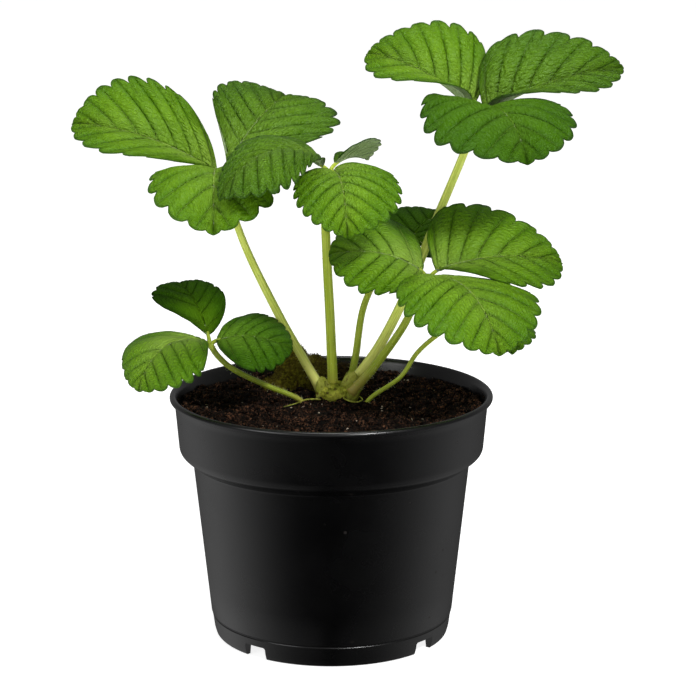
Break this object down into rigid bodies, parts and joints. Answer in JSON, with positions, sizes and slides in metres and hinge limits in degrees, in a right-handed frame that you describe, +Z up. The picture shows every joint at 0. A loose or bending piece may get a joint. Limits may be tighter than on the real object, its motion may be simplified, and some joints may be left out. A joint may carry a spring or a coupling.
{
  "type": "potted strawberry plant",
  "caption": "Young strawberry plant with toothed leaves in threes on tall stalks, growing from a short crown in a round black nursery pot filled with peat.",
  "frame": {"origin": "middle of the pot's base, on the surface that it stands on", "axes": "+Z up along the pot's axis, -Y towards the front as seen in the picture, +X to the right"},
  "size_m": [0.2027, 0.1201, 0.2271],
  "materials": {
    "pot_plastic": "black injection-moulded polypropylene with a soft sheen and dusty specks of peat",
    "peat": "moist dark peat in loose crumbs with short fibres",
    "moss": "olive brown moss over blackish peat",
    "crown": "pale green stem tissue with papery brown sheaths",
    "stalk": "yellow-green finely hairy stalk with a soft sheen",
    "leaf": "mid-green leaf with sunken darker side veins, a soft sheen and a paler underside",
    "leaf_dark": "deep green shaded leaf with sunken side veins"
  },
  "bodies": {
    "root": {"pot": "pot_plastic", "soil": "peat", "moss_clump": "moss", "crown": "crown", "stalk_left_high": "stalk", "leaflet_left_high_outer": "leaf", "leaflet_left_high_back": "leaf", "leaflet_left_high_front": "leaf", "stalk_centre": "stalk", "leaflet_centre_left": "leaf", "leaflet_centre_front": "leaf", "leaflet_centre_right": "leaf", "stalk_right_high": "stalk", "leaflet_right_high_left": "leaf", "leaflet_right_high_right": "leaf", "leaflet_right_high_front": "leaf", "stalk_right": "stalk", "leaflet_right_left": "leaf", "leaflet_right_outer": "leaf", "leaflet_right_front": "leaf", "stalk_back": "stalk", "leaflet_back_left": "leaf_dark", "leaflet_back_middle": "leaf_dark", "leaflet_back_right": "leaf_dark", "stalk_right_low": "stalk", "leaflet_right_low_back": "leaf", "leaflet_right_low_outer": "leaf", "leaflet_right_low_front": "leaf", "stalk_left_low": "stalk", "leaflet_left_low_front": "leaf", "leaflet_left_low_back": "leaf_dark", "leaflet_left_low_right": "leaf"}
  },
  "joints": []
}
